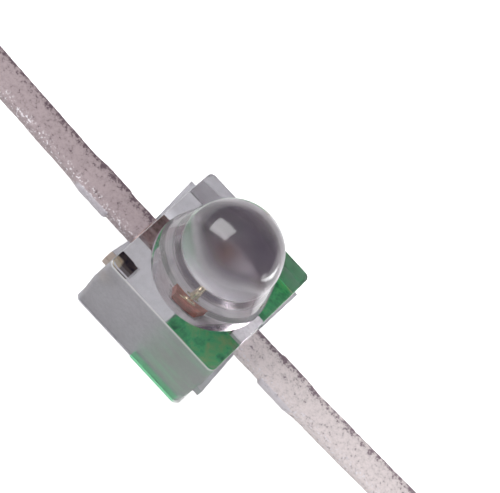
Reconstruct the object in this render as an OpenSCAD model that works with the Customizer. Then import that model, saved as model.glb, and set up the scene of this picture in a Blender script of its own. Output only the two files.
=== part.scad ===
// Subminiature axial LED lamp: clear epoxy block with a domed lens, two flat
// stamped leads, a chip on the cathode lead and a gold wire to the anode lead.
// +X runs along the leads towards the cathode, +Z is the way the lens points.

/* [Epoxy block] */
// Width of the block's top face, along the leads
block_w = 2.09; // [1.9:0.01:2.3]
// Depth of the block's top face, across the leads
block_d = 2.255; // [2.1:0.005:2.4]
// Height of the block, from its underside to its top face
block_h = 1.44; // [1.35:0.01:1.6]
// How far each side leans out from the top face down to the parting line
block_draft = 0.035; // [0.01:0.005:0.05]
// Distance that each side steps back in, from the parting line to the underside
base_draft = 0.01; // [0.005:0.005:0.03]
// Radius of the block's upright edges
block_corner_r = 0.09; // [0.05:0.01:0.15]

/* [Lens] */
// Diameter of the lens where it stands on the block
lens_base_d = 1.85; // [1.7:0.01:1.9]
// Height of the tapered flank below the dome
lens_flank_h = 0.8; // [0.76:0.01:0.9]
// Radius of the dome
dome_r = 0.755; // [0.7:0.005:0.8]
// Height of the dome's centre above the block
dome_rise = 0.71; // [0.68:0.01:0.74]

/* [Leads] */
// Width of each lead
lead_w = 0.51; // [0.46:0.01:0.56]
// Thickness of the lead frame's sheet
sheet_t = 0.18; // [0.15:0.01:0.23]
// Height of the sheet's underside above the block's underside
sheet_z = 0.66; // [0.5:0.01:0.7]
// Length of each lead outside the block
lead_len = 10.55; // [8:0.05:11.7]
// Angle that each lead rises at, outside the block
lead_rise = 3.3; // [0.5:0.1:6]
// Straight length of lead outside the block before it rises
lead_straight = 1.25; // [0.1:0.05:2]
// Distance from the block to the sheared stubs of the dam bar
dam_gap = 0.52; // [0.45:0.01:0.7]
// Length of each dam bar stub along the lead
dam_len = 0.75; // [0.4:0.05:1]
// How far the front dam bar stub stands out from the lead's edge
dam_out = 0.04; // [0.02:0.005:0.08]
// How far the back dam bar stub stands out from the lead's edge
dam_back_out = 0.02; // [0.01:0.005:0.08]
// Length of the slope that ends a dam bar stub, away from the block
dam_slope = 0.2; // [0.05:0.01:0.3]

/* [Lead frame inside the block] */
// Length of the die pad past the middle of the block
die_pad_reach = 0.24; // [0.22:0.01:0.28]
// Gap between the two leads of the frame
frame_gap = 0.13; // [0.08:0.01:0.15]
// Width of the bond arm, across the leads
bond_arm_w = 0.5; // [0.2:0.01:0.6]
// Length of the bond arm past the middle of the block
bond_arm_reach = 0.5; // [0.3:0.01:0.6]
// Width of the support tab
tab_w = 0.15; // [0.12:0.01:0.2]
// Distance of the support tab's middle in front of the leads' middle
tab_offset = 0.72; // [0.7:0.01:0.8]
// Length of the support tab inside the block
tab_len = 0.35; // [0.25:0.01:0.45]
// How far the support tab's cut end stands out of the block
tab_out = 0.09; // [0.02:0.01:0.12]

/* [Chip and wire] */
// Side of the square chip
chip_w = 0.2; // [0.18:0.005:0.32]
// Height of the chip
chip_h = 0.17; // [0.15:0.01:0.2]
// Place of the chip's middle along the leads
chip_x = 0.04; // [0:0.005:0.08]
// Place of the chip's middle across the leads
chip_y = 0.065; // [-0.05:0.005:0.08]
// Turn of the chip on its pad
chip_turn = 5; // [0:1:8]
// Thickness of the silver paste under the chip
paste_t = 0.015; // [0.01:0.005:0.02]
// Margin of the silver paste around the chip
paste_rim = 0.02; // [0.01:0.005:0.025]
// Thickness of the gold contact on the chip
contact_t = 0.008; // [0.006:0.001:0.012]
// Diameter of the round contact on the chip
contact_d = 0.085; // [0.08:0.005:0.14]
// Diameter of the gold bond wire
wire_d = 0.025; // [0.02:0.001:0.038]
// Diameter of the flattened ball at the wire's chip end
ball_d = 0.07; // [0.06:0.005:0.08]
// Height of the flattened ball
ball_h = 0.025; // [0.02:0.005:0.04]
// Straight rise of the wire above its ball
wire_rise = 0.24; // [0.1:0.01:0.32]
// Bend radius of the wire at the top of its loop
loop_r = 0.1; // [0.06:0.01:0.13]
// Lean of the wire's falling leg from upright
fall_lean = 18; // [12:1:24]
// Turn of the loop towards the anode lead
wire_turn = 4; // [0:1:6]

/* [Moulding flash] */
// Distance that the flash stands out at the block's corners
flash_out = 0.085; // [0.03:0.005:0.12]
// Distance that it stands out where it is thin
flash_thin_out = 0.045; // [0.02:0.005:0.08]
// Distance from the flash's outer ends to the block's corners
flash_corner_gap = 0.03; // [0.02:0.005:0.06]
// Distance that it stands out beside the leads
flash_root_out = 0.025; // [0.02:0.005:0.04]
// Distance from the leads' middle to the flash
flash_start = 0.34; // [0.3:0.01:0.5]

/* [Polarity mark] */
// Place of the mark's edge along the leads
mark_x = 0.1; // [0:0.01:0.4]
// Thickness of the green coat
mark_t = 0.02; // [0.01:0.005:0.03]
// Height that the coat climbs up the block's sides
mark_wrap = 0.28; // [0.15:0.01:0.4]

/* [Hidden] */
$fn = 96;

// Distance that a cutter runs past the face that it cuts
eps = 0.5;
// Distance that a cutter in the epoxy reaches into the piece below it
seat = 0.004;
// Depth of the lens's root in the block
lens_root = 0.05;

sheet_top = sheet_z + sheet_t;
parting_z = sheet_z + sheet_t / 2;
mid_w = block_w + 2 * block_draft;
mid_d = block_d + 2 * block_draft;
base_w = mid_w - 2 * base_draft;
base_d = mid_d - 2 * base_draft;

// The frame's plan, along x outwards from the block's middle and across the leads
tip_x = mid_w / 2 + lead_len;
dam_start = mid_w / 2 + dam_gap;
anode_end = die_pad_reach + frame_gap;
arm_root = anode_end + lead_w / 2;
arm_front = lead_w / 2 + frame_gap;
arm_back = arm_front + bond_arm_w;

// The chip and the wire stand on each other, from the sheet upwards
paste_top = sheet_top + paste_t;
chip_top = paste_top + chip_h;
contact_top = chip_top + contact_t;
ball_top = contact_top + ball_h;
loop_z = ball_top + wire_rise;
loop_turn = 180 - fall_lean;
fall_y = loop_r * (1 - cos(loop_turn));
fall_z = loop_z + loop_r * sin(loop_turn);
fall_len = (fall_z - sheet_top - wire_d / 2) / cos(fall_lean);
land_y = fall_y + fall_len * sin(fall_lean);
stitch_len = 3 * wire_d;
stitch_t = 0.6 * wire_d;
stitch_w = 2 * wire_d;
// Direction of the contact's arm, towards the chip's front corner at the anode
contact_arm_turn = 225;
// Diameter of the wire's knuckles, where its bend begins and ends
knuckle_d = 1.05 * wire_d;

// Each fin of flash: side along X, side along Y, then the ends' distances from
// the leads' middle and how far each end stands out of the parting line
tab_back = tab_offset - tab_w / 2;
flash_end = mid_d / 2 - flash_corner_gap;
FINS = [
    [-1, 1, flash_start, flash_root_out, flash_end, flash_out],
    [1, 1, flash_start, flash_root_out, flash_end, flash_thin_out],
    [1, -1, flash_start, flash_root_out, flash_end, flash_out],
    [-1, -1, flash_start, flash_thin_out, tab_back, flash_out]
];
// How far a fin is rooted in the block
fin_root = 0.05;

// A slab with the block's side view: span is its width at the parting line
module drafted_slab(top_w, span, foot_w, length) {
    rotate([90, 0, 0])
        linear_extrude(length, center = true)
            polygon([
                [-foot_w / 2, 0], [foot_w / 2, 0], [span / 2, parting_z],
                [top_w / 2, block_h], [-top_w / 2, block_h], [-span / 2, parting_z]
            ]);
}

// The block with drafted sides, each side moved in by inset
module drafted_block(inset = 0) {
    intersection() {
        drafted_slab(block_w - 2 * inset, mid_w - 2 * inset, base_w - 2 * inset, mid_d + eps);
        rotate([0, 0, 90])
            drafted_slab(block_d - 2 * inset, mid_d - 2 * inset, base_d - 2 * inset,
                mid_w + eps);
        rounded_post(mid_w - 2 * inset, mid_d - 2 * inset);
    }
}

// An upright post with round edges, taller than the block
module rounded_post(w, d) {
    in_x = w / 2 - block_corner_r;
    in_y = d / 2 - block_corner_r;
    translate([0, 0, -eps])
        linear_extrude(block_h + 2 * eps)
            union() {
                square([w, 2 * in_y], center = true);
                square([2 * in_x, d], center = true);
                for (sx = [-1, 1], sy = [-1, 1])
                    translate([sx * in_x, sy * in_y])
                        circle(block_corner_r);
            }
}

// The lens: a tapered flank with a dome, rooted in the block
module lens() {
    flank_top_r = sqrt(dome_r * dome_r - (lens_flank_h - dome_rise) * (lens_flank_h - dome_rise));
    taper = (lens_base_d / 2 - flank_top_r) / lens_flank_h;
    translate([0, 0, block_h - lens_root])
        cylinder(h = lens_flank_h + lens_root, r1 = lens_base_d / 2 + taper * lens_root,
            r2 = flank_top_r);
    translate([0, 0, block_h + dome_rise])
        sphere(dome_r);
}

// One fin of moulding flash, as thick as the lead frame's sheet
module flash_fin(fin) {
    root = mid_w / 2 - fin_root;
    edge = mid_w / 2;
    translate([0, 0, sheet_z])
        scale([fin[0], fin[1], 1])
            linear_extrude(sheet_t)
                polygon([
                    [root, fin[2]], [edge + fin[3], fin[2]],
                    [edge + fin[5], fin[4]], [root, fin[4]]
                ]);
}

// The sheet bent up at rise degrees outside the block, cut to a plan outline
module bent_sheet(side) {
    bend_x = mid_w / 2 + lead_straight;
    lift = (tip_x - bend_x) * tan(lead_rise);
    intersection() {
        rotate([90, 0, 0])
            linear_extrude(4 * block_d, center = true)
                polygon([
                    [-side * block_w, sheet_z], [side * bend_x, sheet_z],
                    [side * tip_x, sheet_z + lift], [side * tip_x, sheet_top + lift],
                    [side * bend_x, sheet_top], [-side * block_w, sheet_top]
                ]);
        linear_extrude(block_h + tip_x)
            children();
    }
}

// Half of a lead's plan outside the block, from the tip in along one edge, with
// the sheared stub of the dam bar; x counts outwards from the block's middle
function lead_edge(edge) = let(
    dam_end = dam_start + dam_len,
    half = edge * lead_w / 2,
    out = edge < 0 ? dam_out : dam_back_out
) [
    [tip_x, half], [dam_end, half], [dam_end - dam_slope, half + edge * out],
    [dam_start + out, half + edge * out], [dam_start, half]
];

// Plan of a whole lead: its inner end's points, then its two edges
module lead_plan(side, inner) {
    front = lead_edge(-1);
    points = concat(inner, [for (i = [len(front) - 1:-1:0]) front[i]], lead_edge(1));
    polygon([for (p = points) [side * p[0], p[1]]]);
}

// Lead that carries the chip on its inner end
module cathode_lead() {
    color("rosybrown")
        bent_sheet(1)
            lead_plan(1, [[-die_pad_reach, lead_w / 2], [-die_pad_reach, -lead_w / 2]]);
}

// Lead whose bent arm runs behind the die pad and takes the wire
module anode_lead() {
    color("rosybrown")
        bent_sheet(-1)
            lead_plan(-1, [
                [arm_root, lead_w / 2], [arm_root, arm_back], [-bond_arm_reach, arm_back],
                [-bond_arm_reach, arm_front], [anode_end, arm_front], [anode_end, -lead_w / 2]
            ]);
}

// Cut stub of the bar that held the block in the lead frame
module support_tab() {
    color("peru")
        translate([-mid_w / 2 - tab_out, -tab_offset - tab_w / 2, sheet_z])
            cube([tab_out + block_draft + tab_len, tab_w, sheet_t]);
}

// Place of the chip's middle, turned with the chip
module on_chip() {
    translate([chip_x, chip_y, 0])
        rotate([0, 0, chip_turn])
            children();
}

// Semiconductor chip; sink lowers its underside, for a cutter
module led_chip(sink = 0) {
    color("sienna")
        on_chip()
            translate([-chip_w / 2, -chip_w / 2, paste_top - sink])
                cube([chip_w, chip_w, chip_h + sink]);
}

// Silver-filled paste that holds the chip
module silver_paste(sink = 0) {
    side = chip_w + 2 * paste_rim;
    color("silver")
        on_chip()
            translate([-side / 2, -side / 2, sheet_top - sink])
                cube([side, side, paste_t + sink]);
}

// Gold contact on the chip: a disc with an arm towards one corner
module chip_contact(sink = 0) {
    arm_l = (chip_w - paste_rim) / 2;
    arm_w = wire_d;
    color("gold")
        on_chip()
            translate([0, 0, chip_top - sink])
                linear_extrude(contact_t + sink)
                    union() {
                        circle(d = contact_d);
                        rotate([0, 0, contact_arm_turn])
                            translate([0, -arm_w / 2])
                                square([arm_l, arm_w]);
                    }
}

// Gold wire: a flattened ball on the contact, a loop and a stitch on the arm
module bond_wire(sink = 0) {
    color("gold")
        translate([chip_x, chip_y, 0])
            rotate([0, 0, wire_turn])
                union() {
                    translate([0, 0, contact_top - sink])
                        cylinder(h = ball_h + sink, d = ball_d);
                    translate([0, 0, contact_top])
                        cylinder(h = ball_h + wire_rise, d = wire_d);
                    translate([0, 0, loop_z])
                        sphere(d = knuckle_d);
                    wire_loop();
                    translate([0, fall_y, fall_z])
                        sphere(d = knuckle_d);
                    wire_fall();
                    translate([0, land_y, sheet_top - sink])
                        wire_stitch(sink);
                }
}

// Bend at the top of the loop, from straight up to straight down the lean
module wire_loop() {
    translate([0, loop_r, loop_z])
        rotate([0, 0, 90])
            rotate([90, 0, 0])
                rotate([0, 0, 180 - loop_turn])
                    rotate_extrude(angle = loop_turn)
                        translate([loop_r, 0])
                            circle(d = wire_d);
}

// Falling leg of the wire
module wire_fall() {
    translate([0, fall_y, fall_z])
        rotate([180 + fall_lean, 0, 0])
            cylinder(h = fall_len, d = wire_d);
}

// Flattened stitch that ends the wire
module wire_stitch(sink) {
    translate([-stitch_w / 2, -stitch_len / 3, 0])
        cube([stitch_w, stitch_len, stitch_t + sink]);
}

// Green coat on the underside of the cathode half, turned up at the sides
module polarity_mark() {
    color("seagreen")
        intersection() {
            drafted_block();
            mark_room();
        }
}

// Room for the coat, run past the outside of the block
module mark_room() {
    difference() {
        translate([mark_x, -block_d, -eps])
            cube([block_w, 2 * block_d, mark_wrap + eps]);
        translate([0, 0, mark_t])
            drafted_block(mark_t);
    }
}

// Clear epoxy, cast around the frame, the chip and the wire
module epoxy_body() {
    color("lightgray")
        difference() {
            union() {
                drafted_block();
                lens();
                for (fin = FINS)
                    flash_fin(fin);
            }
            cathode_lead();
            anode_lead();
            support_tab();
            silver_paste(seat);
            led_chip(seat);
            chip_contact(seat);
            bond_wire(seat);
            mark_room();
        }
}

epoxy_body();
cathode_lead();
anode_lead();
support_tab();
led_chip();
silver_paste();
chip_contact();
bond_wire();
polarity_mark();
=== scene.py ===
import math

import bmesh
import bpy
from bpy.props import FloatProperty, FloatVectorProperty, PointerProperty
from bpy.types import Operator, Panel, PropertyGroup
from mathutils import Matrix, Vector, noise


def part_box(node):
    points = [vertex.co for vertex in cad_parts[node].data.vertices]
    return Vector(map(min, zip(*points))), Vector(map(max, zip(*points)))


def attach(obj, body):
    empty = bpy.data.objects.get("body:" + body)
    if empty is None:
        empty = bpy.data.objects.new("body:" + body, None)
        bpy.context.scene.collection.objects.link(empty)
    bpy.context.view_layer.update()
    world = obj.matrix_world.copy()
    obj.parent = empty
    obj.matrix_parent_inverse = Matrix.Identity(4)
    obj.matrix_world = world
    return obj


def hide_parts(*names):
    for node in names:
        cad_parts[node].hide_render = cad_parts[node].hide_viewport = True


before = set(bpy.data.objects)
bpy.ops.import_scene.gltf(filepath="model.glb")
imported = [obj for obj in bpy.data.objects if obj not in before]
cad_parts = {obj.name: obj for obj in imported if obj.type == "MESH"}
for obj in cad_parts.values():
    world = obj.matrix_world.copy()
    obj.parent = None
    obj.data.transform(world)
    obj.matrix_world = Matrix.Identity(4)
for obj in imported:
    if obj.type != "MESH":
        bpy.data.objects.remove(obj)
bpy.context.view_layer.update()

bl_info = {
    "name": "Subminiature LED Lamp",
    "version": (1, 0, 0),
    "blender": (4, 5, 0),
    "location": "3D View > Sidebar > LED Lamp",
    "description": "Dresses a clear subminiature LED lamp with axial leads",
    "category": "Object",
}

MM = 0.001
X, Y, Z = range(3)


def low(node, axis):
    """A CAD node's lowest place on an axis, in millimetres."""
    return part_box(node)[0][axis] / MM


def high(node, axis):
    """A CAD node's highest place on an axis, in millimetres."""
    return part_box(node)[1][axis] / MM


def parting():
    """Height of the block's parting line, halfway up the lead frame, in millimetres."""
    return (low("support_tab", Z) + high("support_tab", Z)) / 2


# Settings


def length(name, description, default, top=50.0):
    """A size whose default is given in millimetres."""
    return FloatProperty(
        name=name, description=description, default=default * MM, min=0.0, max=top * MM,
        precision=6, unit="LENGTH",
    )


def share(name, description, default):
    """A number from 0 to 1."""
    return FloatProperty(name=name, description=description, default=default, min=0.0, max=1.0)


def colour(name, description, default):
    """A colour in linear red, green and blue."""
    return FloatVectorProperty(
        name=name, description=description, default=default, size=3, subtype="COLOR",
        min=0.0, max=1.0,
    )


class LampSizes(PropertyGroup):
    """Sizes of the forms that the scene makes finely over the frame"""

    block_width: length("Block width", "Width of the block's top face along the leads", 2.09)
    block_depth: length("Block depth", "Depth of the block's top face across the leads", 2.255)
    block_height: length("Block height", "Height of the block's top face", 1.44)
    block_draft: length("Side draft", "Lean of each side down to the parting line", 0.035)
    base_draft: length("Base draft", "Lean of each side from the parting line down", 0.01)
    corner_radius: length("Corner radius", "Radius of the block's upright edges", 0.09)
    edge_radius: length("Edge rounding", "Rounding of the block's top and bottom edges", 0.018)
    lens_diameter: length("Lens diameter", "Diameter of the lens at the block", 1.85)
    flank_height: length("Flank height", "Height of the tapered flank", 0.8)
    dome_radius: length("Dome radius", "Radius of the dome", 0.755)
    dome_rise: length("Dome rise", "Height of the dome's centre above the block", 0.71)
    flash_out: length("Flash", "Width of the moulding flash at the block's corners", 0.085)
    flash_thin_out: length("Thin flash", "Width of the flash where it is thin", 0.045)
    flash_corner_gap: length("Flash gap", "Distance from the flash to the corners", 0.03)
    flash_root_out: length("Flash root", "Width of the flash beside the leads", 0.025)
    flash_start: length("Flash start", "Distance from the leads' middle to the flash", 0.34)
    lead_width: length("Lead width", "Width of a lead", 0.51)
    lead_straight: length("Straight run", "Length of lead before it starts to rise", 1.25)
    lead_gap: length("Lead gap", "Gap between the two leads inside the block", 0.13)
    dam_gap: length("Dam gap", "Distance from the block to the dam bar stubs", 0.52)
    dam_length: length("Dam length", "Length of a dam bar stub along the lead", 0.75)
    dam_out: length("Front dam stub", "Height of the dam stubs at the leads' front", 0.04)
    dam_back_out: length("Back dam stub", "Height of the dam stubs at the leads' back", 0.02)
    dam_slope: length("Dam slope", "Length of the slope that ends a dam stub", 0.2)
    chip_side: length("Chip side", "Side of the square chip", 0.2)
    chip_height: length("Chip height", "Height of the chip", 0.17)
    chip_x: length("Chip place", "Place of the chip's middle along the leads", 0.04)
    chip_y: length("Chip depth place", "Place of the chip's middle across the leads", 0.065)
    paste_thickness: length("Paste thickness", "Thickness of the silver paste", 0.015)
    paste_rim: length("Paste rim", "Margin of the silver paste around the chip", 0.02)
    contact_thickness: length("Contact thickness", "Thickness of the gold contact", 0.008)
    contact_diameter: length("Contact diameter", "Diameter of the round contact", 0.085)
    wire_diameter: length("Wire diameter", "Diameter of the bond wire", 0.025)
    ball_diameter: length("Ball diameter", "Diameter of the flattened ball", 0.07)
    ball_height: length("Ball height", "Height of the flattened ball", 0.025)
    loop_radius: length("Loop radius", "Bend radius at the top of the wire", 0.1)
    wire_rise: length("Wire rise", "Straight rise of the wire above its ball", 0.24)
    mark_wrap: length("Mark wrap", "Height that the green coat climbs", 0.28)
    mark_coat: length("Mark coat", "Thickness of the green coat", 0.012)
    wire_lean: FloatProperty(
        name="Wire lean", description="Lean of the wire's falling leg from upright",
        default=math.radians(18.0), subtype="ANGLE",
    )
    wire_turn: FloatProperty(
        name="Wire turn", description="Turn of the wire's loop towards the anode lead",
        default=math.radians(4.0), subtype="ANGLE",
    )
    chip_turn: FloatProperty(
        name="Chip turn", description="Turn of the chip on its pad",
        default=math.radians(5.0), subtype="ANGLE",
    )


class LampFinish(PropertyGroup):
    """Colours and gloss of the lamp's surfaces"""

    epoxy: colour("Epoxy", "Colour of the clear epoxy", (0.86, 0.85, 0.89))
    # One matt epoxy: the sides' colour is painted darker as shade and the underside's painted near
    # white as light from the floor below
    matt_epoxy: colour("Matt epoxy", "Colour of the moulded sides", (0.50, 0.49, 0.53))
    underside: colour("Underside", "Colour of the moulded underside", (1.0, 0.98, 1.0))
    back_foot: colour("Back foot", "Matt foot of the back wall", (0.78, 0.66, 0.77))
    matt_roughness: share("Matt roughness", "Roughness of the block's moulded sides", 0.4)
    tin: colour("Tin", "Colour of the tinned leads", (0.79, 0.71, 0.71))
    tin_dark: colour("Dark tin", "Colour of the dull grains in the tin", (0.24, 0.18, 0.21))
    # painted shade that darkens the anode lead
    anode_shade: colour("Anode shade", "Painted shade on the anode lead", (0.53, 0.48, 0.50))
    cut_end: colour("Cut end", "Colour of the tab's cut end", (0.50, 0.42, 0.37))
    silver: colour("Silver", "Colour of the silver-plated die pad", (0.86, 0.83, 0.84))
    chip: colour("Chip", "Colour of the chip", (0.54, 0.19, 0.14))
    gold: colour("Gold", "Colour of the gold", (0.96, 0.80, 0.56))
    mark: colour("Mark", "Colour of the green coat", (0.21, 1.0, 0.44))
    mark_thin: colour("Thin mark", "Colour of the coat where it is thin", (0.58, 1.0, 0.46))
    mark_side: colour("Mark at the sides", "Colour of the coat on the sides", (0.33, 0.82, 0.51))


class LampStudio(PropertyGroup):
    """Camera and light"""

    elevation: FloatProperty(
        name="Elevation", description="Height of the camera above the horizon",
        default=math.radians(60.0), subtype="ANGLE",
    )
    roll: FloatProperty(
        name="Roll", description="Turn of the camera about its own axis",
        default=math.radians(47.45), subtype="ANGLE",
    )
    distance: length("Distance", "Distance from the camera to the lamp's middle", 29.94, 1000.0)
    focal_length: FloatProperty(
        name="Focal length", description="Focal length in millimetres", default=149.1,
        min=10.0, max=500.0,
    )
    aim: FloatVectorProperty(
        name="Aim", description="Point that the camera looks at",
        default=(0.127 * MM, 0.826 * MM, 1.28 * MM), subtype="TRANSLATION", unit="LENGTH",
        precision=6,
    )
    key: FloatProperty(name="Key light", description="Radiance of the softbox", default=6.2)
    twist: FloatProperty(
        name="Softbox turn", description="Turn of the softbox about its own axis",
        default=math.radians(-14.0), subtype="ANGLE",
    )
    strip: FloatProperty(name="Strip light", description="Radiance of the strip", default=7.0)
    ambient: FloatProperty(name="Ambient", description="Strength of the surroundings", default=1.0)


# Meshes, in millimetres


def new_object(name, bm, materials, smooth_angle=30.0):
    """Turns a mesh in millimetres into a piece of the lamp, shaded smooth up to an angle."""
    mesh = bpy.data.meshes.new(name)
    bmesh.ops.recalc_face_normals(bm, faces=bm.faces)
    bm.to_mesh(mesh)
    bm.free()
    for material in materials:
        mesh.materials.append(material)
    mesh.transform(Matrix.Scale(MM, 4))
    mesh.shade_smooth()
    mesh.set_sharp_from_angle(angle=math.radians(smooth_angle))
    piece = bpy.data.objects.new(name, mesh)
    bpy.context.scene.collection.objects.link(piece)
    return piece


def dress(piece, node):
    """The piece hangs from the lamp's root and stands in for a CAD node, which is hidden."""
    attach(piece, "root")
    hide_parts(node)


def united(base, others):
    """The union of closed meshes, each free of crossings, as a new mesh."""
    scene = bpy.context.scene
    holders = []
    for index, bm in enumerate([base, *others]):
        bmesh.ops.recalc_face_normals(bm, faces=bm.faces)
        mesh = bpy.data.meshes.new(f"union_{index}")
        bm.to_mesh(mesh)
        bm.free()
        holder = bpy.data.objects.new(f"union_{index}", mesh)
        scene.collection.objects.link(holder)
        holders.append(holder)
    for other in holders[1:]:
        step = holders[0].modifiers.new(other.name, "BOOLEAN")
        step.operation = "UNION"
        step.solver = "EXACT"
        step.object = other
    graph = bpy.context.evaluated_depsgraph_get()
    result = bmesh.new()
    result.from_mesh(holders[0].evaluated_get(graph).to_mesh())
    for holder in holders:
        mesh = holder.data
        bpy.data.objects.remove(holder)
        bpy.data.meshes.remove(mesh)
    return result


def rounded_rectangle(width, depth, radius, steps=8):
    """Points of a rectangle with round corners, anticlockwise from its right side."""
    points = []
    for corner, (sx, sy) in enumerate(((1, 1), (-1, 1), (-1, -1), (1, -1))):
        centre = Vector((sx * (width / 2 - radius), sy * (depth / 2 - radius)))
        for step in range(steps + 1):
            turn = math.radians(90 * corner + 90 * step / steps)
            points.append(centre + radius * Vector((math.cos(turn), math.sin(turn))))
    return points


def circle(radius, count):
    """Points of a circle."""
    turns = [2 * math.pi * i / count for i in range(count)]
    return [(radius * math.cos(t), radius * math.sin(t)) for t in turns]


def ring(bm, points, z):
    """A closed ring of new vertices at a height."""
    return [bm.verts.new((p[0], p[1], z)) for p in points]


def skin(bm, first, second):
    """Quads between two rings of the same length."""
    count = len(first)
    return [
        bm.faces.new((first[i], first[(i + 1) % count], second[(i + 1) % count], second[i]))
        for i in range(count)
    ]


def plate(bm, outline, bottom, top, edge):
    """A flat plate of an outline between two heights, with its rims eased."""
    below = ring(bm, outline, bottom)
    above = ring(bm, outline, top)
    faces = skin(bm, below, above)
    faces.append(bm.faces.new(below[::-1]))
    faces.append(bm.faces.new(above))
    rims = {e for f in faces for e in f.edges}
    bmesh.ops.bevel(bm, geom=list(rims), offset=edge, segments=2, affect="EDGES")


def block_rings(bm, sizes):
    """The block's side as rings: a fine lip round the underside, the parting line and a
    rounded top edge."""
    width, depth = sizes.block_width / MM, sizes.block_depth / MM
    height, draft = sizes.block_height / MM, sizes.block_draft / MM
    base, radius, edge = sizes.base_draft / MM, sizes.corner_radius / MM, sizes.edge_radius / MM
    rings = []

    def level(z, lean):
        """One ring, as far out of the top face's outline as lean."""
        rings.append(ring(bm, rounded_rectangle(width + 2 * lean, depth + 2 * lean, radius), z))

    for step in range(4):
        turn = math.radians(90 - 30 * step)
        level(edge * (1 - math.sin(turn)), draft - base - edge * (1 - math.cos(turn)))
    rings.reverse()
    level(parting(), draft)
    for step in range(4):
        turn = math.radians(30 * step)
        level(height - edge * (1 - math.sin(turn)), -edge * (1 - math.cos(turn)))
    return rings


def lens_profile(sizes):
    """Radius and height above the block from the lens's foot up, and the height of its top."""
    base, flank = sizes.lens_diameter / 2 / MM, sizes.flank_height / MM
    dome, rise = sizes.dome_radius / MM, sizes.dome_rise / MM
    start = math.asin((flank - rise) / dome)
    top_radius = dome * math.cos(start)
    flank_steps, dome_steps = 24, 64
    profile = []
    for i in range(flank_steps):
        t = i / flank_steps
        profile.append((base + (top_radius - base) * t, flank * t))
    for i in range(dome_steps):
        turn = start + (math.pi / 2 - start) * i / dome_steps
        profile.append((dome * math.cos(turn), rise + dome * math.sin(turn)))
    return profile, rise + dome


def block_side(bm, sizes):
    """The block's side and underside; returns the rim of its top face."""
    rings = block_rings(bm, sizes)
    for first, second in zip(rings, rings[1:]):
        skin(bm, first, second)
    bm.faces.new(rings[0])
    return rings[-1]


def body_mesh(sizes):
    """Block and lens as one closed skin, without the hollows that the frame fills."""
    bm = bmesh.new()
    rim = block_side(bm, sizes)
    height = sizes.block_height / MM
    count = 192
    profile, top = lens_profile(sizes)
    lens = [ring(bm, circle(radius, count), height + z) for radius, z in profile]
    for first, second in zip(lens, lens[1:]):
        skin(bm, first, second)
    pole = bm.verts.new((0, 0, height + top))
    for i in range(count):
        bm.faces.new((lens[-1][i], lens[-1][(i + 1) % count], pole))
    border = []
    for loop in (rim, lens[0]):
        border += [bm.edges.get((loop[i], loop[(i + 1) % len(loop)])) for i in range(len(loop))]
    bmesh.ops.triangle_fill(bm, use_beauty=True, use_dissolve=False, edges=border)
    return bm


def flash_mesh(sizes, side_x, side_y, start, end, out_start, out_end):
    """A ragged fin of moulding flash, from start to end across the leads."""
    bm = bmesh.new()
    edge = (sizes.block_width / 2 + sizes.block_draft) / MM
    inside, thinnest, tear = 0.05, 0.004, 0.012
    steps = 14
    outline = []
    for step in range(steps + 1):
        t = step / steps
        y = start + (end - start) * t
        ragged = tear * noise.noise(Vector((3.1 * side_x, 2.3 * side_y, 9.0 * y)))
        out = out_start + (out_end - out_start) * t
        outline.append((side_x * (edge + max(out + min(ragged, 0.0), thinnest)), side_y * y))
    root = side_x * (edge - inside)
    outline += [(root, side_y * end), (root, side_y * start)]
    bottom, top = low("support_tab", Z), high("support_tab", Z)
    below, above = ring(bm, outline, bottom), ring(bm, outline, top)
    skin(bm, below, above)
    bm.faces.new(below)
    bm.faces.new(above)
    return bm


def lead_mesh(sizes, side, inner):
    """A lead: its plate inside the block and its tinned strip outside."""
    node = "cathode_lead" if side > 0 else "anode_lead"
    bottom, top = low("support_tab", Z), high("support_tab", Z)
    thick = top - bottom
    block = (sizes.block_width / 2 + sizes.block_draft) / MM
    half = sizes.lead_width / 2 / MM
    eased, rounded, flat_end = 0.012, 0.03, 0.05
    # plate and strip lap over each other at the block's side
    plate_out, strip_in = 0.02, 0.03
    spacing, least_spacing = 0.02, 0.004
    bm = bmesh.new()
    root = block + plate_out
    outline = [(side * x, y) for x, y in [(root, -half), (root, half)] + inner]
    plate(bm, outline, bottom, top, eased)
    tip = high(node, X) if side > 0 else -low(node, X)
    bend = block + sizes.lead_straight / MM
    rise = (high(node, Z) - top) / (tip - bend)
    start = block + sizes.dam_gap / MM
    end = start + sizes.dam_length / MM
    slope = sizes.dam_slope / MM

    def half_width(x, out):
        """Half the lead's width at a distance from the block's middle."""
        grow = min((x - start) / out, (end - x) / slope)
        return half + out * min(max(grow, 0.0), 1.0)

    def lump(at):
        """How far the tin's lumps stand out at a place."""
        return 0.006 * noise.noise(at * 3.0) + 0.004 * noise.noise(at * 14.0)

    count = int((tip - block + strip_in) / spacing)
    stations = [block - strip_in + spacing * i for i in range(count)]
    stations += [start, end, end - slope, bend, tip]
    section = rounded_rectangle(2 * half, thick, rounded, 4)
    rings = []
    for x in sorted(stations):
        if tip - x < least_spacing and x != tip:
            continue
        lift = bottom + thick / 2 + max(0.0, x - bend) * rise
        loop = []
        for y, z in section:
            out = (sizes.dam_out if y < 0 else sizes.dam_back_out) / MM
            grown = lump(Vector((side * x, y, z))) * min(1.0, (tip - x) / flat_end)
            loop.append(bm.verts.new((
                side * x, y * (half_width(x, out) + grown) / half, lift + z * (1 + grown / thick)
            )))
        rings.append(loop)
    for first, second in zip(rings, rings[1:]):
        skin(bm, first, second)
    bm.faces.new(rings[0][::-1])
    bm.faces.new(rings[-1])
    return bm


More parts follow.
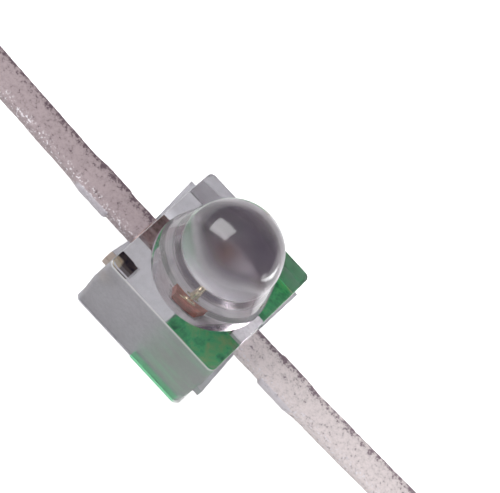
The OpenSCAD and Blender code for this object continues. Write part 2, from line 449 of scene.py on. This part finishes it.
def tube(bm, path, radius, sides=12):
    """A round tube along a path, with flat ends."""
    loops = []
    count = len(path)
    for i, point in enumerate(path):
        ahead = (path[min(i + 1, count - 1)] - path[max(i - 1, 0)]).normalized()
        across = Vector((1, 0, 0))
        upward = ahead.cross(across).normalized()
        loops.append([
            bm.verts.new(point + radius * (math.cos(a) * across + math.sin(a) * upward))
            for a in (2 * math.pi * k / sides for k in range(sides))
        ])
    for first, second in zip(loops, loops[1:]):
        skin(bm, first, second)
    bm.faces.new(loops[0][::-1])
    bm.faces.new(loops[-1])


def spun(bm, centre, profile, sides=24):
    """A solid of revolution about an upright axis, from its foot up."""
    loops = [
        ring(bm, [(centre.x + x, centre.y + y) for x, y in circle(radius, sides)], centre.z + z)
        for radius, z in profile
    ]
    for first, second in zip(loops, loops[1:]):
        skin(bm, first, second)
    bm.faces.new(loops[0][::-1])
    bm.faces.new(loops[-1])


def lumpy_box(centre, size, edge, lump, cuts, turn=0.0):
    """A box with bevelled edges and faces pitted up to lump deep, turned about its upright axis."""
    bm = bmesh.new()
    pits_per_mm = 25.0
    bmesh.ops.create_cube(bm, size=1.0)
    bmesh.ops.scale(bm, vec=size, verts=bm.verts)
    bmesh.ops.bevel(bm, geom=bm.edges[:], offset=edge, segments=3, affect="EDGES")
    bmesh.ops.subdivide_edges(bm, edges=bm.edges[:], cuts=cuts, use_grid_fill=True)
    for vert in bm.verts:
        shift = lump * noise.noise(vert.co * pits_per_mm + centre)
        vert.co += vert.co.normalized() * min(shift, 0.0)
    bmesh.ops.rotate(bm, matrix=Matrix.Rotation(turn, 3, "Z"), verts=bm.verts)
    bmesh.ops.translate(bm, vec=centre, verts=bm.verts)
    return bm


# Materials, whose zones are places in the lamp's own space, in millimetres

EPOXY_IOR = 1.55


def node_material(name):
    """A new material with its shader."""
    material = bpy.data.materials.new(name)
    material.use_nodes = True
    tree = material.node_tree
    return material, tree, tree.nodes["Principled BSDF"]


def object_place(tree):
    """Place in the object's own space."""
    return tree.nodes.new("ShaderNodeTexCoord").outputs["Object"]


def add_noise(tree, scale, detail=4.0, roughness=0.6, stretch=(1, 1, 1)):
    """Noise over the object's own space; scale is in lumps per millimetre."""
    mapping = tree.nodes.new("ShaderNodeMapping")
    mapping.inputs["Scale"].default_value = stretch
    lumps = tree.nodes.new("ShaderNodeTexNoise")
    lumps.inputs["Scale"].default_value = scale / MM
    lumps.inputs["Detail"].default_value = detail
    lumps.inputs["Roughness"].default_value = roughness
    tree.links.new(object_place(tree), mapping.inputs["Vector"])
    tree.links.new(mapping.outputs[0], lumps.inputs["Vector"])
    return lumps.outputs["Fac"]


def add_ramp(tree, source, stops):
    """A colour ramp with stops of place and colour."""
    ramp = tree.nodes.new("ShaderNodeValToRGB")
    elements = ramp.color_ramp.elements
    while len(elements) < len(stops):
        elements.new(0.5)
    for element, (place, shade) in zip(elements, stops):
        element.position = place
        element.color = (*shade, 1.0)
    tree.links.new(source, ramp.inputs["Fac"])
    return ramp.outputs["Color"]


def add_bump(tree, shader, height, strength, distance):
    """Bump of a height source; distance is in millimetres."""
    bump = tree.nodes.new("ShaderNodeBump")
    bump.inputs["Strength"].default_value = strength
    bump.inputs["Distance"].default_value = distance * MM
    tree.links.new(height, bump.inputs["Height"])
    tree.links.new(bump.outputs["Normal"], shader.inputs["Normal"])


def add_math(tree, operation, *values):
    """A math node over sources and plain numbers."""
    node = tree.nodes.new("ShaderNodeMath")
    node.operation = operation
    for socket, value in zip(node.inputs, values):
        if hasattr(value, "links"):
            tree.links.new(value, socket)
        else:
            socket.default_value = value
    return node.outputs[0]


def add_mix(tree, factor, first, second, blend="MIX"):
    """Colour mix of two sources or plain colours."""
    node = tree.nodes.new("ShaderNodeMix")
    node.data_type = "RGBA"
    node.blend_type = blend
    if hasattr(factor, "links"):
        tree.links.new(factor, node.inputs["Factor"])
    else:
        node.inputs["Factor"].default_value = factor
    for socket, value in ((node.inputs[6], first), (node.inputs[7], second)):
        if hasattr(value, "links"):
            tree.links.new(value, socket)
        else:
            socket.default_value = (*value, 1.0)
    return node.outputs[2]


def add_zone(tree, source, start, end):
    """0 up to start and 1 from end on, whichever of the two is higher."""
    step = tree.nodes.new("ShaderNodeMapRange")
    step.inputs["From Min"].default_value = start
    step.inputs["From Max"].default_value = end
    tree.links.new(source, step.inputs["Value"])
    return step.outputs["Result"]


def add_product(tree, first, *others):
    """The product of several values."""
    for other in others:
        first = add_math(tree, "MULTIPLY", first, other)
    return first


def add_band(tree, source, start, full, fade, end):
    """1 from full to fade, falling to 0 at start and at end."""
    return add_product(tree, add_zone(tree, source, start, full), add_zone(tree, source, end, fade))


def add_span(tree, source, first, last):
    """A value that goes from first to last while the source goes from 0 to 1."""
    return add_math(tree, "MULTIPLY_ADD", source, last - first, first)


def axes(tree):
    """The object's own x, y and z, in millimetres."""
    scaled = tree.nodes.new("ShaderNodeVectorMath")
    scaled.operation = "SCALE"
    scaled.inputs["Scale"].default_value = 1 / MM
    apart = tree.nodes.new("ShaderNodeSeparateXYZ")
    tree.links.new(object_place(tree), scaled.inputs[0])
    tree.links.new(scaled.outputs[0], apart.inputs[0])
    return apart.outputs


def dimmed(shade, level):
    """A colour at a share of its brightness."""
    return [level * c for c in shade]


def polished_epoxy(finish):
    """Clear epoxy from the polished part of the mould, slightly hazed on the dome."""
    material, tree, shader = node_material("Polished epoxy")
    haze = add_noise(tree, 1.2, 3.0)
    tone = add_ramp(tree, haze, [(0.3, dimmed(finish.epoxy, 0.97)), (0.7, finish.epoxy)])
    tree.links.new(tone, shader.inputs["Base Color"])
    shader.inputs["Transmission Weight"].default_value = 1.0
    shader.inputs["IOR"].default_value = EPOXY_IOR
    dome = add_zone(tree, axes(tree)["Z"], 2.1, 2.3)
    tree.links.new(add_span(tree, dome, 0.02, 0.13), shader.inputs["Roughness"])
    return material


def side_ink_and_painted_light(tree, x, y, z, tone, finish):
    """Streaks of thin green ink and painted shade on the front of the cathode half, a painted
    highlight along the top edge.
    """
    shadow, painted_highlight = (0.42, 0.36, 0.41), (0.95, 0.95, 0.96)
    streaks = add_zone(tree, add_noise(tree, 1.6, 4.0, 0.6, (0.5, 1, 2.2)), 0.42, 0.62)
    cathode_half = add_zone(tree, x, 0.0, 0.5)
    front = add_zone(tree, y, -0.9, -1.05)
    highlight_edge = add_zone(tree, z, 1.37, 1.41)
    reach = add_product(tree, cathode_half, front)
    # painted shade on the front of the cathode half
    tone = add_mix(tree, add_product(tree, reach, 0.6), tone, shadow)
    tone = add_mix(tree, add_product(tree, streaks, reach, 0.26), tone, finish.mark_side)
    # painted highlight along the block's top edge
    return add_mix(tree, highlight_edge, tone, painted_highlight)


def back_stain(tree, x, y, z, tone, finish):
    """Thin green ink that climbs the back wall of the cathode half, over a foot that is darker
    towards the bottom.
    """
    ragged = add_math(tree, "MULTIPLY_ADD", add_noise(tree, 2.5, 4.0), 0.5, z)
    cathode_half = add_zone(tree, x, 0.45, 0.60)
    inked = add_zone(tree, ragged, 1.05, 0.55)
    foot = add_zone(tree, z, 1.0, 0.75)
    # darker towards the bottom of the back wall
    tone = add_mix(tree, add_product(tree, foot, 0.25), tone, dimmed(finish.epoxy, 0.5))
    return add_mix(tree, add_product(tree, cathode_half, inked, 0.7), tone, finish.mark)


def underside_front_darkening(tree, x, y, z, tone, finish):
    """Darker band along the front of the underside."""
    front = add_zone(tree, y, -0.35, -0.39)
    # darker towards the front of the underside
    return add_mix(tree, add_product(tree, front, 0.9), tone, dimmed(finish.underside, 0.55))


def matt_epoxy(name, base, overlay, finish, clearness=0.6):
    """Clear epoxy from the spark-eroded part of the mould, specked, with an overlay of its own:
    green ink, painted shade, a painted highlight or a darker band.
    """
    material, tree, shader = node_material(name)
    x, y, z = axes(tree)
    haze = add_noise(tree, 3.0, 5.0)
    tone = add_ramp(tree, haze, [(0.3, dimmed(base, 0.88)), (0.7, base)])
    specks = add_zone(tree, add_noise(tree, 14.0, 4.0, 0.75), 0.40, 0.62)
    tone = add_mix(tree, add_product(tree, specks, 0.28), tone, dimmed(base, 0.45))
    # the overlay holds ink and, on the sides, painted shade and a painted highlight
    tone = overlay(tree, x, y, z, tone, finish)
    tree.links.new(tone, shader.inputs["Base Color"])
    shader.inputs["Transmission Weight"].default_value = clearness
    shader.inputs["IOR"].default_value = EPOXY_IOR
    shader.inputs["Roughness"].default_value = finish.matt_roughness
    add_bump(tree, shader, add_noise(tree, 30.0), strength=0.3, distance=0.006)
    return material


def back_epoxy(finish):
    """The back wall above the parting line, smoothest in its middle."""
    material = matt_epoxy("Back epoxy", finish.epoxy, back_stain, finish, clearness=0.95)
    tree = material.node_tree
    aside = add_zone(tree, add_math(tree, "ABSOLUTE", axes(tree)["X"]), 0.42, 0.60)
    shader = tree.nodes["Principled BSDF"]
    tree.links.new(add_span(tree, aside, 0.08, 0.35), shader.inputs["Roughness"])
    return material


def tinned_lead(finish):
    """Dull tin outside the block, darker along the back edge, with bright specks along the front
    edge, and painted shade on the anode lead.
    """
    material, tree, shader = node_material("Tinned lead")
    x, y, z = axes(tree)
    grain = add_noise(tree, 16.0, 5.0, 0.7)
    patch = add_noise(tree, 2.2, 3.0)
    # darker along the lead's back edge
    back_edge = add_zone(tree, y, 0.10, 0.24)
    level = add_math(tree, "MULTIPLY_ADD", back_edge, -0.17, grain)
    level = add_math(tree, "MULTIPLY_ADD", patch, 0.08, level)
    tin = add_ramp(
        tree, level,
        [(0.36, finish.tin_dark), (0.46, dimmed(finish.tin, 0.84)), (0.62, finish.tin)],
    )
    # painted shade on the anode lead
    anode = add_zone(tree, x, 0.5, -0.5)
    tin = add_mix(tree, anode, tin, finish.anode_shade, "MULTIPLY")
    # bright specks along the lead's front edge
    front_edge = add_zone(tree, y, -0.12, -0.20)
    specks = add_zone(tree, add_noise(tree, 24.0, 3.0, 0.6), 0.55, 0.64)
    front_tone = (0.80, 0.76, 0.80)
    tin = add_mix(tree, add_product(tree, front_edge, specks), tin, front_tone)
    cool_grey = (0.62, 0.60, 0.66)
    front_face = add_zone(tree, y, -0.268, -0.278)
    tin = add_mix(tree, add_product(tree, front_face, 0.6), tin, cool_grey)
    tree.links.new(tin, shader.inputs["Base Color"])
    shader.inputs["Metallic"].default_value = 0.35
    shader.inputs["Roughness"].default_value = 0.5
    add_bump(tree, shader, grain, strength=0.5, distance=0.012)
    return material


def plated_frame(name, finish, bright, smooth):
    """Silver plate inside the block, matt and in one place bright; bare copper towards the anode's
    end, its dark brown partly the copper's own and partly painted shade.
    """
    material, tree, shader = node_material(name)
    x, y, z = axes(tree)
    ragged = add_math(tree, "MULTIPLY_ADD", add_noise(tree, 2.0, 3.0), 0.2, x)
    # copper colour towards the anode's end, its darkest browns painted shade
    copper = add_ramp(tree, add_noise(tree, 5.0, 4.0), [
        (0.35, (0.16, 0.10, 0.09)), (0.5, (0.50, 0.33, 0.30)), (0.65, (0.75, 0.60, 0.60)),
    ])
    grain = add_noise(tree, 34.0, 4.0, 0.6)
    dull = add_ramp(tree, grain, [(0.38, finish.silver), (0.55, (1, 0.97, 0.98))])
    overlay = add_noise(tree, 40.0, 3.0, 0.6)
    shiny = add_ramp(tree, overlay, [(0.38, (0.52, 0.47, 0.54)), (0.62, (0.84, 0.74, 0.74))])
    level = bright(tree, x, y)
    silver = add_mix(tree, level, dull, shiny)
    plated = add_zone(tree, ragged, -0.62, -0.48)
    tree.links.new(add_mix(tree, plated, copper, silver), shader.inputs["Base Color"])
    tree.links.new(add_product(tree, level, 0.95), shader.inputs["Metallic"])
    tree.links.new(add_span(tree, level, 0.45, smooth), shader.inputs["Roughness"])
    return material


def bright_pad(tree, x, y):
    """Burnished part of the pad, beyond the chip."""
    return add_band(tree, x, 0.19, 0.27, 0.82, 0.88)


def bright_arm(tree, x, y):
    """Burnished strip near the back edge of the arm."""
    return add_band(tree, y, 0.48, 0.68, 0.815, 0.835)


def metal(name, bright, dark, metallic, roughness, scale, bump):
    """Metal or chip, mottled between two colours."""
    material, tree, shader = node_material(name)
    mottle = add_noise(tree, scale, 6.0, 0.7)
    tone = add_ramp(tree, mottle, [(0.38, dark), (0.58, bright)])
    tree.links.new(tone, shader.inputs["Base Color"])
    shader.inputs["Metallic"].default_value = metallic
    shader.inputs["Roughness"].default_value = roughness
    add_bump(tree, shader, mottle, strength=bump, distance=0.01)
    return material


def chip_crystal(finish):
    """Sawn crystal of the chip."""
    return metal(
        "Chip", finish.chip, dimmed(finish.chip, 0.55),
        metallic=0.0, roughness=0.45, scale=12.0, bump=0.2,
    )


def silver_paste(finish):
    """Dull silver-filled glue."""
    return metal(
        "Silver paste", finish.silver, (0.5, 0.48, 0.47),
        metallic=0.4, roughness=0.5, scale=40.0, bump=0.6,
    )


def cut_tab(finish):
    """Copper alloy inside the block, dark partly from oxide and partly as painted shade, lighter
    along its front, with a painted gold glint at its front corner, a painted white glint at its
    inner end, and a peachy cut end.
    """
    material, tree, shader = node_material("Cut tab")
    x, y, z = axes(tree)
    mottle = add_noise(tree, 7.0, 5.0, 0.7)
    # dark copper, partly oxide and partly painted shade
    tone = add_ramp(tree, mottle, [(0.42, (0.03, 0.015, 0.035)), (0.68, (0.13, 0.09, 0.08))])
    front_tone, glint_white = (0.20, 0.16, 0.15), (0.95, 0.93, 0.95)
    front = add_zone(tree, y, -0.74, -0.77)
    tone = add_mix(tree, front, tone, front_tone)
    # painted gold glint at the tab's front corner
    gold_glint = add_product(tree, front, add_zone(tree, x, -0.90, -0.93))
    tone = add_mix(tree, gold_glint, tone, finish.gold)
    # painted white glint at the tab's inner end
    glint_end = add_zone(tree, x, -0.735, -0.725)
    tone = add_mix(tree, glint_end, tone, glint_white)
    ragged = add_math(tree, "MULTIPLY_ADD", mottle, 0.08, x)
    tone = add_mix(tree, add_zone(tree, ragged, -1.03, -0.97), finish.cut_end, tone)
    tree.links.new(tone, shader.inputs["Base Color"])
    shader.inputs["Metallic"].default_value = 0.5
    shader.inputs["Roughness"].default_value = 0.35
    add_bump(tree, shader, mottle, strength=0.3, distance=0.01)
    return material


def gold(name, finish, roughness):
    """Gold of the wire or of the contact."""
    return metal(
        name, finish.gold, dimmed(finish.gold, 0.6),
        metallic=1.0, roughness=roughness, scale=30.0, bump=0.1,
    )


def green_ink(finish):
    """Matt green ink, thin and thick in patches, greyer on the block's sides."""
    material, tree, shader = node_material("Green coat")
    x, y, z = axes(tree)
    mottle = add_noise(tree, 3.2, 5.0, 0.65)
    thick = dimmed(finish.mark, 0.5)
    tone = add_ramp(tree, mottle, [(0.36, thick), (0.50, finish.mark), (0.64, finish.mark_thin)])
    ragged = add_math(tree, "MULTIPLY_ADD", add_noise(tree, 4.0, 4.0, 0.7), 0.16, x)
    margin, end_tone = (1, 1, 1), (0.85, 0.88, 0.86)
    tone = add_mix(tree, add_zone(tree, ragged, 0.215, 0.165), tone, margin)
    front = add_zone(tree, y, -1.05, -1.07)
    tone = add_mix(tree, front, tone, finish.mark_side)
    fade = add_product(tree, front, add_zone(tree, z, 0.16, 0.27))
    tone = add_mix(tree, fade, tone, finish.matt_epoxy)
    end = add_zone(tree, add_math(tree, "MULTIPLY_ADD", mottle, 0.06, x), 1.0, 1.06)
    tone = add_mix(tree, end, tone, end_tone)
    tree.links.new(tone, shader.inputs["Base Color"])
    shader.inputs["Transmission Weight"].default_value = 0.2
    shader.inputs["Roughness"].default_value = 0.6
    add_bump(tree, shader, mottle, strength=0.3, distance=0.01)
    return material


# Pieces


class LAMP_OT_epoxy(Operator):
    """Make the clear epoxy block and lens"""

    bl_idname = "lamp.epoxy"
    bl_label = "Epoxy Block and Lens"

    def execute(self, context):
        sizes, finish = context.scene.lamp_sizes, context.scene.lamp_finish
        end = (sizes.block_depth / 2 + sizes.block_draft - sizes.flash_corner_gap) / MM
        out, thin = sizes.flash_out / MM, sizes.flash_thin_out / MM
        start, root = sizes.flash_start / MM, sizes.flash_root_out / MM
        fins = (
            (-1, 1, start, end, root, out),
            (1, 1, start, end, root, thin),
            (1, -1, start, end, root, out),
            (-1, -1, start, -high("support_tab", Y), thin, out),
        )
        bm = united(body_mesh(sizes), [flash_mesh(sizes, *fin) for fin in fins])
        # sides and underside: one matt epoxy, with painted shade on the sides and painted light on
        # the underside
        sides = matt_epoxy("Matt epoxy", finish.matt_epoxy, side_ink_and_painted_light, finish)
        underside = matt_epoxy("Underside epoxy", finish.underside, underside_front_darkening, finish)
        back = back_epoxy(finish)
        foot = matt_epoxy("Back foot epoxy", finish.back_foot, back_stain, finish)
        piece = new_object(
            "epoxy_shell", bm, [polished_epoxy(finish), sides, underside, back, foot]
        )
        top, parting_line = sizes.block_height - 0.5 * sizes.edge_radius, parting() * MM
        for face in piece.data.polygons:
            if face.center.z > top:
                face.material_index = 0
            elif face.center.z < 0.5 * sizes.edge_radius:
                face.material_index = 2
            elif face.normal.y > 0.9:
                face.material_index = 3 if face.center.z > parting_line else 4
            else:
                face.material_index = 1
        dress(piece, "epoxy_body")
        return {"FINISHED"}


class LAMP_OT_leads(Operator):
    """Make both stamped and tinned leads"""

    bl_idname = "lamp.leads"
    bl_label = "Leads"

    def execute(self, context):
        sizes, finish = context.scene.lamp_sizes, context.scene.lamp_finish
        half, gap = sizes.lead_width / 2 / MM, sizes.lead_gap / MM
        tin = tinned_lead(finish)
        block = sizes.block_width / 2 + sizes.block_draft
        pad = -low("cathode_lead", X)
        inner = [(-pad, half), (-pad, -half)]
        cathode = new_object("cathode_lead_tinned", lead_mesh(sizes, 1, inner), [
            tin, plated_frame("Plated pad", finish, bright_pad, 0.12)
        ])
        dress(cathode, "cathode_lead")
        reach, back = high("anode_lead", X), high("anode_lead", Y)
        front, end = half + gap, pad + gap
        inner = [
            (end + half, half), (end + half, back), (-reach, back), (-reach, front),
            (end, front), (end, -half),
        ]
        anode = new_object("anode_lead_tinned", lead_mesh(sizes, -1, inner), [
            tin, plated_frame("Plated arm", finish, bright_arm, 0.08)
        ])
        dress(anode, "anode_lead")
        for lead in (cathode, anode):
            for face in lead.data.polygons:
                face.material_index = int(abs(face.center.x) < block)
        return {"FINISHED"}


class LAMP_OT_chip(Operator):
    """Make the chip, its paste and its contact"""

    bl_idname = "lamp.chip"
    bl_label = "Chip"

    def execute(self, context):
        sizes, finish = context.scene.lamp_sizes, context.scene.lamp_finish
        middle = Vector((sizes.chip_x, sizes.chip_y, 0.0)) / MM
        turn = sizes.chip_turn
        side, height = sizes.chip_side / MM, sizes.chip_height / MM
        paste, rim = sizes.paste_thickness / MM, sizes.paste_rim / MM
        foot = high("support_tab", Z)
        block = lumpy_box(
            middle + Vector((0, 0, foot + paste + height / 2)), (side, side, height),
            edge=0.006, lump=0.004, cuts=3, turn=turn,
        )
        die = new_object("chip_die", block, [chip_crystal(finish)])
        dress(die, "led_chip")
        blob = lumpy_box(
            middle + Vector((0, 0, foot + paste / 2)), (side + 2 * rim, side + 2 * rim, paste),
            edge=0.004, lump=0.003, cuts=6, turn=turn,
        )
        glue = new_object("chip_paste", blob, [silver_paste(finish)])
        dress(glue, "silver_paste")
        bm = bmesh.new()
        thick, radius = sizes.contact_thickness / MM, sizes.contact_diameter / 2 / MM
        base = middle + Vector((0, 0, foot + paste + height))
        spun(bm, base, [(radius, 0.0), (radius, 0.6 * thick), (0.9 * radius, thick)], 32)
        reach, arm_turn = 0.45 * side, turn + math.radians(225.0)
        arm = lumpy_box(
            Vector((reach / 2, 0, thick / 2)), (reach, sizes.wire_diameter / MM, thick),
            edge=0.002, lump=0.0, cuts=1,
        )
        bmesh.ops.rotate(arm, matrix=Matrix.Rotation(arm_turn, 3, "Z"), verts=arm.verts)
        bmesh.ops.translate(arm, vec=base, verts=arm.verts)
        pad = new_object(
            "chip_contact_pad", united(bm, [arm]), [gold("Gold contact", finish, roughness=0.3)]
        )
        dress(pad, "chip_contact")
        return {"FINISHED"}


class LAMP_OT_tab(Operator):
    """Make the cut support tab"""

    bl_idname = "lamp.tab"
    bl_label = "Support Tab"

    def execute(self, context):
        finish = context.scene.lamp_finish
        bottom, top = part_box("support_tab")
        block = lumpy_box(
            (bottom + top) / 2 / MM, (top - bottom) / MM, edge=0.012, lump=0.004, cuts=4
        )
        piece = new_object("support_tab_cut", block, [cut_tab(finish)])
        dress(piece, "support_tab")
        return {"FINISHED"}


class LAMP_OT_wire(Operator):
    """Make the bond wire with its ball and stitch"""

    bl_idname = "lamp.wire"
    bl_label = "Bond Wire"

    def execute(self, context):
        sizes, finish = context.scene.lamp_sizes, context.scene.lamp_finish
        radius = sizes.wire_diameter / 2 / MM
        foot = high("support_tab", Z) + (
            sizes.paste_thickness + sizes.chip_height + sizes.contact_thickness
        ) / MM
        ball_r, ball_h = sizes.ball_diameter / 2 / MM, sizes.ball_height / MM
        ball, wire = bmesh.new(), bmesh.new()
        spun(ball, Vector((0, 0, foot)), [
            (0.8 * ball_r, 0.0), (ball_r, 0.3 * ball_h), (ball_r, 0.6 * ball_h),
            (0.8 * ball_r, ball_h), (1.3 * radius, 1.25 * ball_h),
        ])
        loop_z = foot + ball_h + sizes.wire_rise / MM
        bend, lean = sizes.loop_radius / MM, sizes.wire_lean
        path = [Vector((0, 0, foot + 0.5 * ball_h)), Vector((0, 0, loop_z))]
        steps = 24
        for step in range(1, steps + 1):
            turn = (math.pi - lean) * step / steps
            path.append(Vector((0, bend * (1 - math.cos(turn)), loop_z + bend * math.sin(turn))))
        land = high("support_tab", Z) + radius
        drop = path[-1].z - land
        path.append(Vector((0, path[-1].y + drop * math.tan(lean), land)))
        tube(wire, path, radius)
        stitch = lumpy_box(
            Vector((0, path[-1].y + radius, land - 0.4 * radius)),
            (2.6 * radius, 4 * radius, 1.2 * radius), edge=0.4 * radius, lump=0.0, cuts=1,
        )
        bm = united(ball, [wire, stitch])
        bmesh.ops.rotate(bm, matrix=Matrix.Rotation(sizes.wire_turn, 3, "Z"), verts=bm.verts)
        bmesh.ops.translate(bm, vec=(sizes.chip_x / MM, sizes.chip_y / MM, 0), verts=bm.verts)
        piece = new_object(
            "bond_wire_drawn", bm, [gold("Gold wire", finish, roughness=0.18)], smooth_angle=50.0
        )
        dress(piece, "bond_wire")
        return {"FINISHED"}


class LAMP_OT_mark(Operator):
    """Make the green polarity coat"""

    bl_idname = "lamp.mark"
    bl_label = "Polarity Mark"

    def execute(self, context):
        sizes, finish = context.scene.lamp_sizes, context.scene.lamp_finish
        bm = bmesh.new()
        block_side(bm, sizes)
        edge, wrap = low("polarity_mark", X), sizes.mark_wrap / MM
        for point, normal in (((edge, 0, 0), (-1, 0, 0)), ((0, 0, wrap), (0, 0, 1))):
            bmesh.ops.bisect_plane(
                bm, geom=bm.verts[:] + bm.edges[:] + bm.faces[:], plane_co=point,
                plane_no=normal, clear_outer=True,
            )
        bmesh.ops.recalc_face_normals(bm, faces=bm.faces)
        bmesh.ops.solidify(bm, geom=bm.faces[:], thickness=sizes.mark_coat / MM)
        piece = new_object("polarity_coat", bm, [green_ink(finish)])
        dress(piece, "polarity_mark")
        return {"FINISHED"}


class LAMP_OT_stage(Operator):
    """Set up the floor, the lights and the camera"""

    bl_idname = "lamp.stage"
    bl_label = "Stage"

    def execute(self, context):
        studio = context.scene.lamp_studio
        make_floor()
        make_world(studio)
        make_area_light(
            "Softbox", direction=(-0.725, -0.040, 0.688), width=27.0, height=42.0,
            twist=studio.twist, radiance=studio.key,
        )
        make_area_light(
            "Strip", direction=(0.98, 0.20, 0.05), width=7.0, height=5.0,
            twist=0.0, radiance=studio.strip,
        )
        make_camera(context.scene, studio)
        context.scene.view_settings.view_transform = "Standard"
        return {"FINISHED"}


def make_floor():
    """A pale floor that keeps the lamp's shadow and glows by how it is seen: near white to the
    camera, white through the epoxy, and in gloss dark but for a wedge and a far bright patch."""
    bpy.ops.mesh.primitive_plane_add(size=0.6, location=(0, 0, -0.02 * MM))
    floor = bpy.context.object
    floor.name = "floor"
    material, tree, shader = node_material("Floor")
    tree.nodes.remove(shader)
    diffuse = tree.nodes.new("ShaderNodeBsdfDiffuse")
    diffuse.inputs["Color"].default_value = (0.6, 0.6, 0.6, 1)
    glow = tree.nodes.new("ShaderNodeEmission")
    path = tree.nodes.new("ShaderNodeLightPath")
    x, y, z = axes(tree)
    slant = add_math(tree, "DIVIDE", y, add_math(tree, "MAXIMUM", x, 0.5))
    wedge = add_band(tree, slant, 0.25, 0.40, 1.0, 1.5)
    patch = add_product(
        tree, add_band(tree, y, 2.6, 3.4, 5.0, 6.5), add_band(tree, x, 5.0, 7.5, 25.0, 40.0)
    )
    shine = add_math(tree, "MULTIPLY_ADD", patch, 9.0, add_span(tree, wedge, 0.1, 1.0))
    strength = 0.0
    for ray, level in (
        ("Is Camera Ray", 0.8), ("Is Transmission Ray", 1.0), ("Is Glossy Ray", shine),
    ):
        strength = add_math(tree, "MULTIPLY_ADD", path.outputs[ray], level, strength)
    tree.links.new(strength, glow.inputs["Strength"])
    both = tree.nodes.new("ShaderNodeAddShader")
    tree.links.new(diffuse.outputs[0], both.inputs[0])
    tree.links.new(glow.outputs[0], both.inputs[1])
    tree.links.new(both.outputs[0], tree.nodes["Material Output"].inputs["Surface"])
    floor.data.materials.append(material)


def make_world(studio):
    """White behind the lamp, a dim room with a bright ceiling through the epoxy, a dark room in
    gloss, and a fill that grows towards the cathode."""
    world = bpy.data.worlds.new("Surroundings")
    bpy.context.scene.world = world
    world.use_nodes = True
    tree = world.node_tree
    back = tree.nodes["Background"]
    place = tree.nodes.new("ShaderNodeTexCoord").outputs["Generated"]
    apart = tree.nodes.new("ShaderNodeSeparateXYZ")
    tree.links.new(place, apart.inputs[0])
    path = tree.nodes.new("ShaderNodeLightPath")
    tone = add_ramp(
        tree, apart.outputs["Z"],
        [(0.0, (1, 1, 1)), (0.07, (0.8, 0.8, 0.8)), (0.15, (0.33, 0.31, 0.33)),
         (1.0, (0.24, 0.225, 0.245))],
    )
    toward = tree.nodes.new("ShaderNodeVectorMath")
    toward.operation = "DOT_PRODUCT"
    toward.inputs[1].default_value = (-0.40, 0.12, 0.90)
    tree.links.new(place, toward.inputs[0])
    ceiling = add_zone(tree, toward.outputs["Value"], 0.87, 0.93)
    tone = add_mix(tree, ceiling, tone, (3.0, 3.0, 3.0))
    fill = add_ramp(tree, apart.outputs["X"], [(0.0, (0.6, 0.6, 0.6)), (1.0, (1.9, 1.9, 1.9))])
    for ray, shade in (
        ("Is Glossy Ray", (0.14, 0.13, 0.15)), ("Is Diffuse Ray", fill),
        ("Is Camera Ray", (1, 1, 1)),
    ):
        tone = add_mix(tree, path.outputs[ray], tone, shade)
    tree.links.new(tone, back.inputs["Color"])
    back.inputs["Strength"].default_value = studio.ambient


def make_area_light(name, direction, width, height, twist, radiance):
    """A flat light of even radiance that faces the lamp; sizes in millimetres."""
    distance = 50.0
    direction = Vector(direction).normalized()
    data = bpy.data.lights.new(name, "AREA")
    data.shape = "RECTANGLE"
    data.size, data.size_y = width * MM, height * MM
    data.energy = radiance * data.size * data.size_y * math.pi
    light = bpy.data.objects.new(name, data)
    light.location = direction * distance * MM
    light.rotation_mode = "QUATERNION"
    turn = Matrix.Rotation(twist, 3, direction).to_quaternion()
    light.rotation_quaternion = turn @ direction.to_track_quat("Z", "Y")
    bpy.context.scene.collection.objects.link(light)


def make_camera(scene, studio):
    """The camera, rolled about its own axis."""
    e = studio.elevation
    middle = Vector((0, 0, 0.8 * MM))
    place = middle + studio.distance * Vector((0, -math.cos(e), math.sin(e)))
    back = (place - Vector(studio.aim)).normalized()
    right = Vector((0, 0, 1)).cross(back).normalized()
    upright = Matrix((right, back.cross(right), back)).transposed()
    turn = (upright @ Matrix.Rotation(studio.roll, 3, "Z")).to_4x4()
    data = bpy.data.cameras.new("Camera")
    data.lens = studio.focal_length
    data.sensor_width = 36.0
    data.clip_start, data.clip_end = 1 * MM, 2.0
    camera = bpy.data.objects.new("Camera", data)
    camera.matrix_world = Matrix.Translation(place) @ turn
    scene.collection.objects.link(camera)
    scene.camera = camera


class LAMP_PT_panel(Panel):
    """The lamp's steps and sizes"""

    bl_label = "LED Lamp"
    bl_idname = "LAMP_PT_panel"
    bl_space_type = "VIEW_3D"
    bl_region_type = "UI"
    bl_category = "LED Lamp"

    def draw(self, context):
        for step in STEPS:
            self.layout.operator(step.bl_idname)
        scene = context.scene
        for group in (scene.lamp_sizes, scene.lamp_finish, scene.lamp_studio):
            box = self.layout.box()
            for name in group.__annotations__:
                box.prop(group, name)


STEPS = (
    LAMP_OT_epoxy, LAMP_OT_leads, LAMP_OT_tab, LAMP_OT_chip, LAMP_OT_wire, LAMP_OT_mark,
    LAMP_OT_stage,
)
CLASSES = (LampSizes, LampFinish, LampStudio, *STEPS, LAMP_PT_panel)


def register():
    """Adds the lamp's classes and settings to the program."""
    for item in CLASSES:
        bpy.utils.register_class(item)
    bpy.types.Scene.lamp_sizes = PointerProperty(type=LampSizes)
    bpy.types.Scene.lamp_finish = PointerProperty(type=LampFinish)
    bpy.types.Scene.lamp_studio = PointerProperty(type=LampStudio)


def unregister():
    """Takes the settings and classes out again."""
    del bpy.types.Scene.lamp_studio
    del bpy.types.Scene.lamp_finish
    del bpy.types.Scene.lamp_sizes
    for item in reversed(CLASSES):
        bpy.utils.unregister_class(item)


def main():
    """Makes every piece and the stage."""
    register()
    bpy.ops.lamp.epoxy()
    bpy.ops.lamp.leads()
    bpy.ops.lamp.tab()
    bpy.ops.lamp.chip()
    bpy.ops.lamp.wire()
    bpy.ops.lamp.mark()
    bpy.ops.lamp.stage()


if __name__ == "__main__":
    main()
